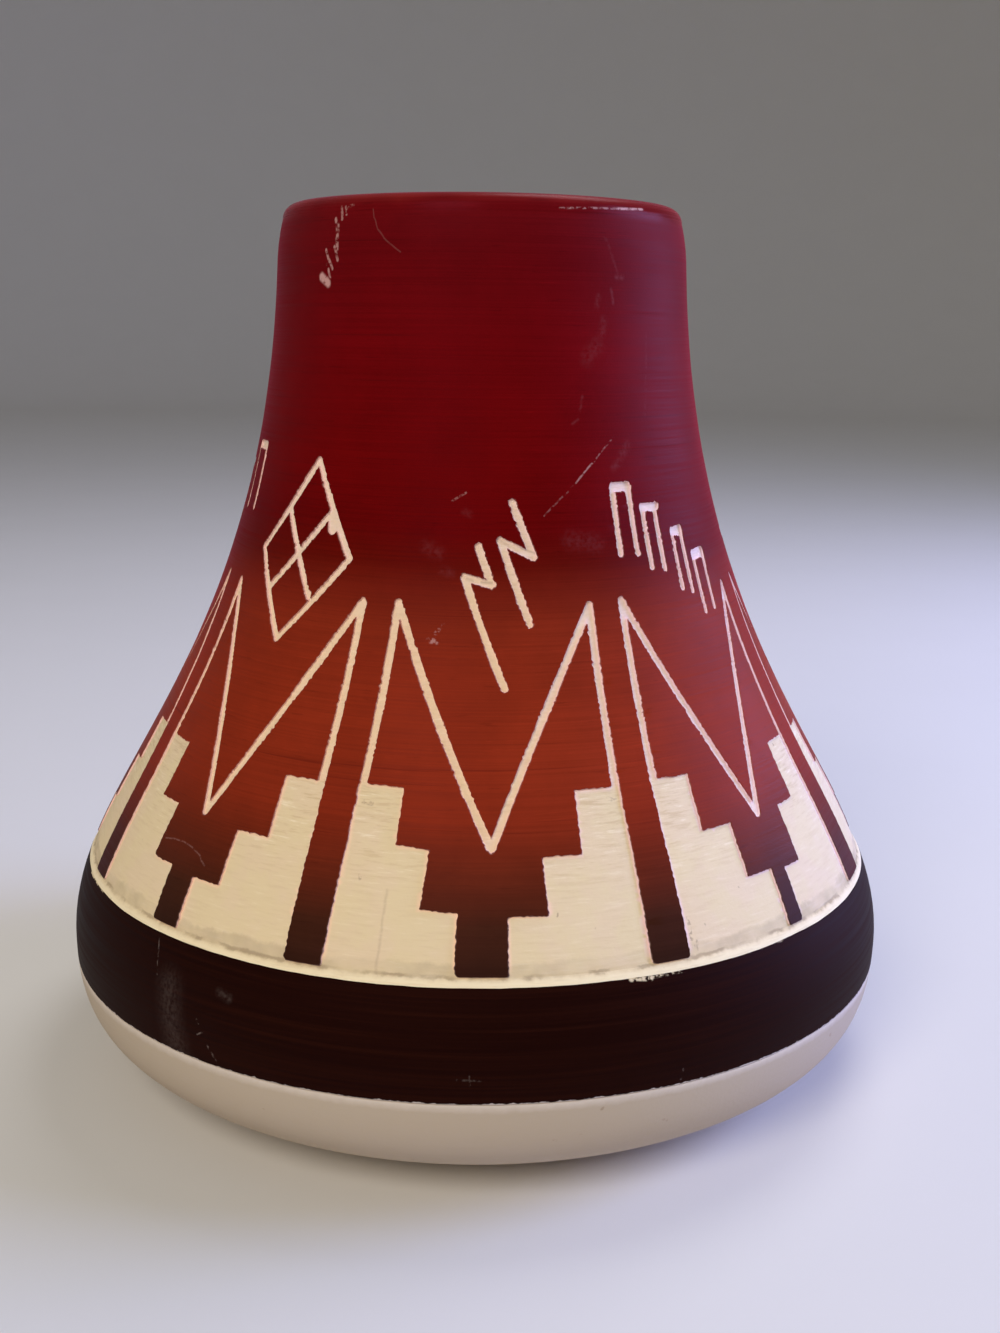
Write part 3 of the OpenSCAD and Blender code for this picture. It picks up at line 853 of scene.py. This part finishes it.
# sprayed slip: colour changes with height, mm above the foot
spray = {
    "stops": [(44, (42, 24, 15)), (52, (62, 31, 18)), (60, (99, 36, 18)), (68, (129, 41, 19)),
              (82, (135, 43, 20)), (98, (126, 39, 19)), (104, (109, 28, 14)), (109, (91, 12, 4)),
              (115, (93, 4, 3)), (124, (99, 4, 4)), (146, (101, 5, 8)), (163, (94, 7, 11)),
              (171.4, (97, 10, 14)), (173, (116, 28, 26))],
    "redGloss": {"shine": 0.043, "tinge": (255, 110, 155), "bloom": 0.22, "bloomTint": (255, 85, 135)},
    "brickGloss": {"shine": 0.07, "tinge": (255, 120, 145), "bloom": 0.1, "bloomTint": (255, 105, 120)},
    # grain as scale, detail, roughness, stretch, with the reach in mm before it where a height strays
    "drift": (4.0, 38, 3), "brush": (1, 3, 0.6, (20, 20, 2900)), "cloud": (75, 4, 0.6),
    "dash": (1, 2, 0.5, (170, 170, 2300)), "drag": (1, 2, 0.5, (22, 22, 1900)),
    "rub": (900, 2), "pore": (2600, 2), "brushDepth": 0.02, "poreDepth": 0.012,
    "lipFrom": 4.5, "lipFull": 2.5, "lipPolish": 0.24,
    "dragged": (60, 8, 8), "worn": (220, 182, 168),
    # marks as points (turn, height), width, gaps 0 to 1, weight 0 to 1
    # scraped is the colour of pale scuffs, and also of the painted highlight along the lip
    "markR": 48.0, "scraped": (206, 160, 152),
    "scrapes": [
        ([(-45.6, 158.5), (-43.2, 157.4)], 2.2, 0.26, 0.75),
        ([(-44.3, 163.2), (-41.8, 159.9)], 0.9, 0.34, 0.5),
        ([(-43.8, 160.6), (-42.3, 158.0)], 0.8, 0.34, 0.55),
        ([(-41.2, 163.7), (-39.8, 161.4)], 0.9, 0.34, 0.5),
        ([(-40.5, 167.4), (-40.2, 163.4)], 1.2, 0.38, 0.5),
        ([(-41.7, 168.6), (-41.3, 168.1)], 0.9, 0.34, 0.5),
        ([(-40.0, 170.6), (-39.3, 168.5)], 0.9, 0.36, 0.4),
        ([(-38.5, 170.6), (-38.0, 169.3)], 0.8, 0.36, 0.4),
        ([(-37.8, 170.6), (-35.8, 170.9)], 0.7, 0.4, 0.3),
        ([(-29.3, 170.0), (-28.8, 168.6), (-27.5, 166.6), (-25.2, 164.9), (-22.5, 163.4), (-20.8, 162.6)],
         0.4, 0.24, 0.07),
        ([(13.7, 117.3), (21.8, 122.9)], 0.4, 0.42, 0.18), ([(21.8, 122.9), (26.3, 126.2)], 0.45, 0.32, 0.42),
        ([(26.3, 126.2), (32.5, 130.6)], 0.4, 0.4, 0.25),
        ([(-6.2, 119.8), (-3.2, 121.3)], 0.5, 0.4, 0.3),
        ([(-9.2, 96.2), (-8.1, 96.0)], 1.3, 0.42, 0.5), ([(-8.0, 97.4), (-6.7, 98.9)], 0.8, 0.42, 0.35),
        ([(-50.3, 57.3), (-48.2, 57.8), (-45.8, 58.0), (-43.6, 57.7), (-41.8, 57.0), (-40.0, 55.7)],
         0.35, 0.36, 0.15),
        # these two run along the lip: a painted highlight, drawn as pale marks
        ([(20.0, 170.4), (28.8, 170.7), (38.3, 170.9)], 0.5, 0.42, 0.4),
        ([(38.3, 170.9), (48.0, 171.2)], 0.6, 0.34, 0.7),
    ],
    "smudged": (120, 56, 58),
    "smudges": [
        ([(32.7, 165.9), (37.0, 159.1)], 1.4, 0.3, 0.35), ([(36.2, 158.9), (38.3, 158.9)], 1.8, 0.2, 0.5),
        ([(34.5, 156.7), (35.0, 154.4)], 1.4, 0.2, 0.5), ([(30.5, 155.5), (30.0, 154.0)], 2.2, 0.24, 0.35),
        ([(31.8, 151.1), (31.3, 149.1)], 3.2, 0.24, 0.35), ([(29.8, 147.0), (26.7, 144.7)], 5.2, 0.24, 0.3),
        ([(24.8, 137.9), (24.0, 135.6)], 1.1, 0.24, 0.4), ([(23.5, 133.9), (21.8, 133.2)], 0.9, 0.24, 0.45),
        ([(46.7, 148.8), (45.5, 140.7), (43.8, 134.5)], 1.2, 0.3, 0.3),
        ([(36.8, 129.3), (35.0, 127.5)], 3.0, 0.24, 0.35), ([(34.0, 126.3), (32.0, 125.3)], 2.6, 0.24, 0.4),
        ([(-10.9, 111.9), (-8.6, 110.9)], 4.0, 0.26, 0.35), ([(-7.2, 107.9), (-5.8, 107.5)], 2.8, 0.24, 0.35),
        ([(19.5, 113.0), (25.0, 112.3)], 5.6, 0.26, 0.35), ([(-3.4, 118.0), (-2.2, 117.6)], 2.2, 0.24, 0.3),
    ],
}


def sprayedSlip(name, gloss):
    f, look = Finish(name), spray
    colour = f.ramp(f.uneven(*look["drift"]), look["stops"])
    brush, cloud, dash, drag = (f.grain(*look[key]) for key in ("brush", "cloud", "dash", "drag"))
    colour = f.lift(colour, f.times(f.span(brush, 0.3, 0.7, 0.91, 1.07), f.span(cloud, 0.3, 0.7, 0.93, 1.07),
                                    f.span(dash, 0.66, 0.74, 1.0, 0.84), f.span(dash, 0.34, 0.26, 1.0, 1.12)))
    colour = f.mix(f.span(drag, 0.66, 0.74, 0.0, 0.3), colour, look["dragged"])
    rub = f.times(f.attribute("worn"), f.span(f.grain(*look["rub"]), 0.35, 0.6, 0.1, 0.5))
    colour = f.mix(rub, colour, look["worn"])
    for kind, mark, blur in (("smudges", "smudged", 0.3), ("scrapes", "scraped", 0.0)):
        colour = f.mix(f.scrapes(look["markR"], look[kind], blur), colour, look[mark])
    sheen = f.span(brush, 0.3, 0.8, 0.46, 0.6)
    lip = f.span(f.height, potHeight - look["lipFrom"], potHeight - look["lipFull"],
                 0.0, look["lipPolish"])  # rubbed smooth by hands
    f.set(Base_Color=colour, Roughness=f.math("SUBTRACT", sheen, lip), Specular_IOR_Level=gloss["shine"],
          Specular_Tint=tint(*gloss["tinge"]), Sheen_Weight=gloss["bloom"], Sheen_Roughness=0.3,
          Sheen_Tint=tint(*gloss["bloomTint"]))
    pores = f.grain(*look["pore"])
    f.set(Normal=f.bump(pores, look["poreDepth"], f.bump(brush, look["brushDepth"])))
    return f.material


darkBandLook = {
    "deep": (23, 5, 2), "brushed": (36, 12, 5), "paleLowEdge": (208, 194, 186), "smeared": (228, 208, 172),
    "brush": (1, 4, 0.6, (16, 16, 1500)), "brushDepth": 0.02, "ragged": (0.9, 800, 3), "patch": (60, 2),
    "tinge": (255, 160, 160), "markR": 85.0, "scraped": (128, 112, 104),
    "scrapes": [
        ([(-43.8, 42.3), (-42.8, 36.5)], 0.4, 0.44, 0.45),
        ([(-35.0, 31.7), (-34.6, 31.1)], 0.5, 0.4, 0.5), ([(-34.8, 29.0), (-33.8, 29.9)], 0.4, 0.4, 0.55),
        ([(-33.2, 27.6), (-32.0, 25.2)], 0.5, 0.46, 0.45),
        ([(-2.0, 28.6), (0.6, 28.5)], 0.5, 0.42, 0.22), ([(-0.7, 29.3), (-0.6, 27.6)], 0.4, 0.42, 0.22),
        ([(24.4, 25.0), (24.7, 26.8)], 0.5, 0.46, 0.4),
    ],
    "hazes": [
        ([(-40.2, 35.4), (-39.4, 29.5), (-38.6, 25.0)], 10.0, 0.2, 0.16),
        ([(-39.4, 31.0), (-38.2, 24.8)], 6.0, 0.3, 0.2), ([(-31.9, 37.4), (-30.4, 37.0)], 2.6, 0.24, 0.2),
    ],
    "smears": [
        ([(18.6, 43.2), (21.2, 42.9)], 1.0, 0.42, 0.9), ([(21.2, 43.1), (25.4, 43.2)], 0.8, 0.46, 0.85),
    ],
}


def darkSlip(name):
    f, look = Finish(name), darkBandLook
    brush = f.grain(*look["brush"])
    colour = f.mix(f.span(brush, 0.35, 0.8), look["deep"], look["brushed"])
    for kind, blur in (("hazes", 0.3), ("scrapes", 0.0)):
        colour = f.mix(f.scrapes(look["markR"], look[kind], blur), colour, look["scraped"])
    ragged = f.uneven(*look["ragged"])
    # a pale, ragged line along the band's lower edge
    colour = f.mix(f.span(ragged, bandLow + 0.1, bandLow + 0.3, 0.8, 0.0), colour, look["paleLowEdge"])
    smear = f.times(f.span(ragged, bandTop - 0.3, bandTop - 0.1), f.span(f.grain(*look["patch"]), 0.66, 0.72))
    smear = f.math("MAXIMUM", smear, f.scrapes(look["markR"], look["smears"]))
    colour = f.mix(smear, colour, look["smeared"])
    f.set(Base_Color=colour, Roughness=f.span(brush, 0.3, 0.8, 0.56, 0.7), Specular_IOR_Level=0.06,
          Specular_Tint=tint(*look["tinge"]))
    f.set(Normal=f.bump(brush, look["brushDepth"]))
    return f.material


# clay: base paler towards the foot as painted bounce light and darker above as painted shade, a pale rim
# under the band, a bevel painted paler as a highlight, then the carved ground
clayLook = {
    # painted light in the stops: paler below 7 mm is bounce light, darker from 7 to 22.6 mm is shade on the
    # down-facing base, paler from 43 to 44.2 mm is a highlight on the bevel
    "stops": [(0, (246, 232, 210)), (3, (232, 213, 188)), (7, (201, 183, 159)), (12, (187, 169, 147)),
              (22.6, (186, 169, 147)), (23.4, (208, 193, 177)), (30, (226, 206, 176)), (43, (240, 222, 184)),
              (44.2, (240, 222, 184)), (44.6, (226, 204, 163)), (173, (227, 205, 165))],
    "jagged": (1.1, 480, 4, 0.6), "tool": (1, 4, 0.62, (190, 190, 1900)), "blush": (110, 4, 0.6),
    "drift": (3.6, 150, 5, 0.65), "cloud": (45, 4, 0.65), "seamShadowGrain": (240, 3), "dust": (700, 2),
    "fleck": (520, 1), "pore": (1500, 3), "toolDepth": 0.12, "poreDepth": 0.03,
    # heights where a look sets in and is full
    "ground": (26, 44), "groundRosy": (44, 46), "groundDragged": (54, 68), "bevelEnd": (44.2, 44.7),
    "seam": 44.8, "dusty": (45.0, 47.0), "bevelCornerGreyFade": (46.3, 47.2),
    "bevelCornerGrey": (186, 166, 134), "dragged": (210, 184, 146), "paintedSheenStreak": (244, 226, 196),
    "seamShadow": (158, 136, 108), "rosy": (227, 199, 172), "speck": (150, 126, 100),
    "pinched": [(46, (246, 207, 173)), (98, (244, 206, 176)), (112, (238, 208, 198))],
    "cutEdge": (238, 196, 190), "blueLitCutEdge": (238, 208, 212), "blueLitPinch": (240, 206, 216),
    "paintedBlueLightSide": (-5 * mm, 45 * mm),  # painted light: the cut lines and cut walls turn bluer towards the right
    "markR": 80.0, "scoreAndCreaseShade": (164, 138, 116),
    "scores": [
        ([(-17.2, 69.9), (-15.6, 69.6)], 1.0, 0.44, 0.6), ([(19.8, 70.3), (21.0, 69.9)], 0.9, 0.44, 0.5),
        ([(-15.7, 58.8), (-15.6, 58.4)], 0.9, 0.4, 0.6), ([(10.2, 53.9), (10.3, 53.6)], 0.8, 0.36, 0.7),
        ([(28.0, 50.6), (27.9, 46.2)], 0.9, 0.42, 0.7), ([(28.6, 47.0), (28.3, 45.6)], 0.7, 0.4, 0.6),
        ([(-43.8, 7.2), (-43.3, 6.9)], 0.8, 0.34, 0.6), ([(1.8, 1.2), (2.2, 0.9)], 0.9, 0.34, 0.6),
        ([(22.8, 17.2), (23.3, 16.9)], 0.9, 0.34, 0.5), ([(9.3, 16.2), (9.7, 16.0)], 0.7, 0.34, 0.4),
        ([(52.1, 20.8), (52.5, 20.5)], 0.9, 0.34, 0.5),
    ],
    # painted shade in creases and at stroke joints, drawn as dark lines
    "creaseShades": [
        ([(-11.8, 57.0), (-12.0, 45.0)], 0.9, 0.1, 0.28), ([(21.4, 45.4), (27.6, 44.9)], 0.8, 0.2, 0.4),
        ([(8.6, 111.7), (11.4, 110.9)], 0.7, 0.1, 0.55), ([(0.4, 106.0), (2.6, 105.9)], 0.7, 0.1, 0.55),
        ([(4.6, 112.9), (6.0, 112.3)], 1.0, 0.1, 0.35), ([(-2.6, 106.6), (-1.2, 106.2)], 1.0, 0.1, 0.35),
    ],
}


def bareClay(name):
    f, look = Finish(name), clayLook
    jagged = f.uneven(*look["jagged"])
    colour = f.ramp(jagged, look["stops"])
    tool, blush, cloud, seamShadowGrain, dust, fleck, pore = (
        f.grain(*look[key]) for key in ("tool", "blush", "cloud", "seamShadowGrain", "dust", "fleck", "pore"))

    def above(key, *shares):
        return f.span(f.height, *look[key], *shares)

    rosy = f.times(f.span(blush, 0.42, 0.62, 0.0, 0.35), above("groundRosy"))
    colour = f.mix(rosy, colour, look["rosy"])
    dragging = f.times(above("groundDragged", 0.3, 1.0), above("ground"))
    colour = f.mix(f.times(f.span(tool, 0.5, 0.68), dragging, 0.85), colour, look["dragged"])
    # paler streaks where the tool left the clay smoother: painted sheen
    colour = f.mix(f.times(f.span(tool, 0.44, 0.3), dragging, 0.75), colour, look["paintedSheenStreak"])
    # a darker, blotchy grey just above the bevel, fading out upward
    bevelCornerGrey = f.times(f.span(f.uneven(*look["drift"]), *look["bevelCornerGreyFade"], 1.0, 0.0),
                     f.span(jagged, *look["bevelEnd"]), f.span(cloud, 0.38, 0.64, 0.15, 0.75))
    colour = f.mix(bevelCornerGrey, colour, look["bevelCornerGrey"])
    # painted shadow line along the top edge of the bevel, broken up by noise
    seam = f.span(f.math("ABSOLUTE", f.math("SUBTRACT", jagged, look["seam"])), 0.1, 0.4, 0.6, 0.0)
    colour = f.mix(f.times(seam, f.span(seamShadowGrain, 0.42, 0.6)), colour, look["seamShadow"])
    # painted light: cut lines and cut walls are bluer on the right, where the blue lamps fall
    side = f.span(f.split(f.coords)[0], *look["paintedBlueLightSide"])
    pinch = f.times(f.attribute("worn"), f.span(dust, 0.3, 0.65, 0.7, 1.0), above("dusty"))
    pinched = f.mix(f.times(side, 0.9), f.ramp(f.height, look["pinched"]), look["blueLitPinch"])
    colour = f.mix(pinch, colour, pinched)
    colour = f.mix(f.times(f.attribute("bare"), 0.85), colour, f.mix(side, look["cutEdge"], look["blueLitCutEdge"]))
    colour = f.mix(f.span(fleck, 0.79, 0.83, 0.0, 0.5), colour, look["speck"])
    # the creases are painted shade, the scores are marks on the clay
    for kind, blur in (("creaseShades", 0.25), ("scores", 0.0)):
        colour = f.mix(f.scrapes(look["markR"], look[kind], blur), colour, look["scoreAndCreaseShade"])
    f.set(Base_Color=colour, Roughness=f.span(tool, 0.3, 0.7, 0.7, 0.85), Specular_IOR_Level=0.2)
    f.set(Normal=f.bump(pore, look["poreDepth"], f.bump(f.times(tool, dragging), look["toolDepth"])))
    return f.material


glazeLook = {"thin": (222, 208, 184), "pooled": (208, 190, 162), "pool": (30, 3), "poolDepth": 0.3}


def clearGlaze(name):
    f, look = Finish(name), glazeLook
    pool = f.grain(*look["pool"])
    f.set(Base_Color=f.mix(f.span(pool, 0.3, 0.7), look["thin"], look["pooled"]),
          Roughness=f.span(pool, 0.3, 0.7, 0.08, 0.16), Coat_Weight=0.6, Coat_Roughness=0.06)
    f.set(Normal=f.bump(pool, look["poolDepth"]))
    return f.material


redSlip, brickSlip = (sprayedSlip(kind + "Slip", spray[kind + "Gloss"]) for kind in ("red", "brick"))
bandSlip, paleClay, potGlaze = darkSlip("bandSlip"), bareClay("paleClay"), clearGlaze("potGlaze")
print("finishes mixed")


def addPiece(sheet, name, slip, slotName, *nodes):
    piece = turnSheet(sheet, name, slip, paleClay)
    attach(piece, "root")
    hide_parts(*nodes)
    return piece


addPiece(clay, "carvedClay", paleClay, "bare_clay", "clay_body")
addPiece(lining, "potLining", potGlaze, "clear_glaze", "glaze_lining")
addPiece(band, "darkBand", bandSlip, "dark_slip", "band_coat")
addPiece(coats["field"], "redField", redSlip, "red_slip", "field_coat")
for name in sorted(coats):
    kind, _, rest = name.partition("_")
    if kind == "panel":
        addPiece(coats[name], f"brickPanel_{rest}", brickSlip, "brick_slip", f"panel_coat_{rest}")
    elif kind == "diamond":
        addPiece(coats[name], f"diamondCell_{rest}", redSlip, "red_slip", name)
print("pieces turned:", len(coats) + 3)

# stage: a pale round sweep, soft lamps and the camera
sweep = {
    "rings": (0.4, 1.4), "floor": 2.6, "round": 0.9, "bendSteps": 16, "height": 2.4, "sides": 96,
    "colour": (214, 210, 204), "fibre": (198, 194, 188), "fibreGrain": (14, 4),
}


def buildSweep():
    bend = [(sweep["floor"] + sweep["round"] * math.sin(a), sweep["round"] * (1 - math.cos(a)))
            for a in np.linspace(0, math.pi / 2, sweep["bendSteps"])]
    line = [(r, 0.0) for r in sweep["rings"]] + bend + [(bend[-1][0], sweep["height"])]
    around = np.linspace(0, 2 * math.pi, sweep["sides"], endpoint=False)
    verts = [(r * math.cos(a), r * math.sin(a), z) for r, z in line for a in around]
    ring, count = len(around), len(line)
    faces = [((i + 1) * ring + j, (i + 1) * ring + (j + 1) % ring, i * ring + (j + 1) % ring, i * ring + j)
             for i in range(count - 1) for j in range(ring)] + [tuple(range(ring))]
    mesh = bpy.data.meshes.new("paleSweep")
    mesh.from_pydata(verts, [], faces)
    mesh.polygons.foreach_set("use_smooth", np.ones(len(faces), bool))
    paper = Finish("sweepPaper")
    fibre = paper.span(paper.grain(*sweep["fibreGrain"]), 0.3, 0.7, 0, 0.06)
    paper.set(Base_Color=paper.mix(fibre, sweep["colour"], sweep["fibre"]),
              Roughness=0.9, Specular_IOR_Level=0.1)
    mesh.materials.append(paper.material)
    putOut("paleSweep", mesh)


buildSweep()

lamps = {
    "key": {"at": (-0.40, -1.04, 0.90), "size": 0.7, "watts": 11.4, "tint": (1.0, 0.95, 0.86)},
    "fill": {"at": (1.05, -0.02, 0.61), "size": 0.6, "watts": 11.8, "tint": (0.35, 0.49, 1.0)},
    "rim": {"at": (0.95, 0.30, 0.24), "size": 0.5, "watts": 6.8, "tint": (0.46, 0.44, 1.0)},
    "top": {"at": (0.25, 0.35, 0.95), "size": 0.5, "watts": 3.0, "tint": (0.95, 0.95, 1.0)},
}
lampsAim = Vector((0, 0, 0.09))
for name, lamp in lamps.items():
    light = bpy.data.lights.new(name, "AREA")
    light.shape, light.size = "DISK", lamp["size"]
    light.energy, light.color = lamp["watts"], lamp["tint"]
    holder = putOut(name, light)
    holder.location = lamp["at"]
    holder.rotation_euler = (lampsAim - Vector(lamp["at"])).to_track_quat("-Z", "Y").to_euler()

roomLight = {"Color": (0.95, 0.96, 1.0, 1.0), "Strength": 0.28}
world = bpy.data.worlds.new("studio")
bpy.context.scene.world = world
world.use_nodes = True
for key, value in roomLight.items():
    world.node_tree.nodes["Background"].inputs[key].default_value = value

shot = {"at": (0, -0.3114, 0.149), "down": 12.56, "yaw": 0.83, "roll": 0.68,
        "lens": 54, "sensor": 36, "nearest": 0.01}
camera = bpy.data.cameras.new("shot")
camera.sensor_fit, camera.sensor_width, camera.lens = "HORIZONTAL", shot["sensor"], shot["lens"]
camera.clip_start = shot["nearest"]
holder = putOut("shot", camera)
holder.location = shot["at"]
holder.rotation_euler = (Euler((math.radians(90 - shot["down"]), 0, -math.radians(shot["yaw"]))).to_matrix()
                         @ Euler((0, 0, math.radians(shot["roll"]))).to_matrix()).to_euler()
bpy.context.scene.camera = holder
bpy.context.scene.view_settings.view_transform = "Standard"
print("stage set")
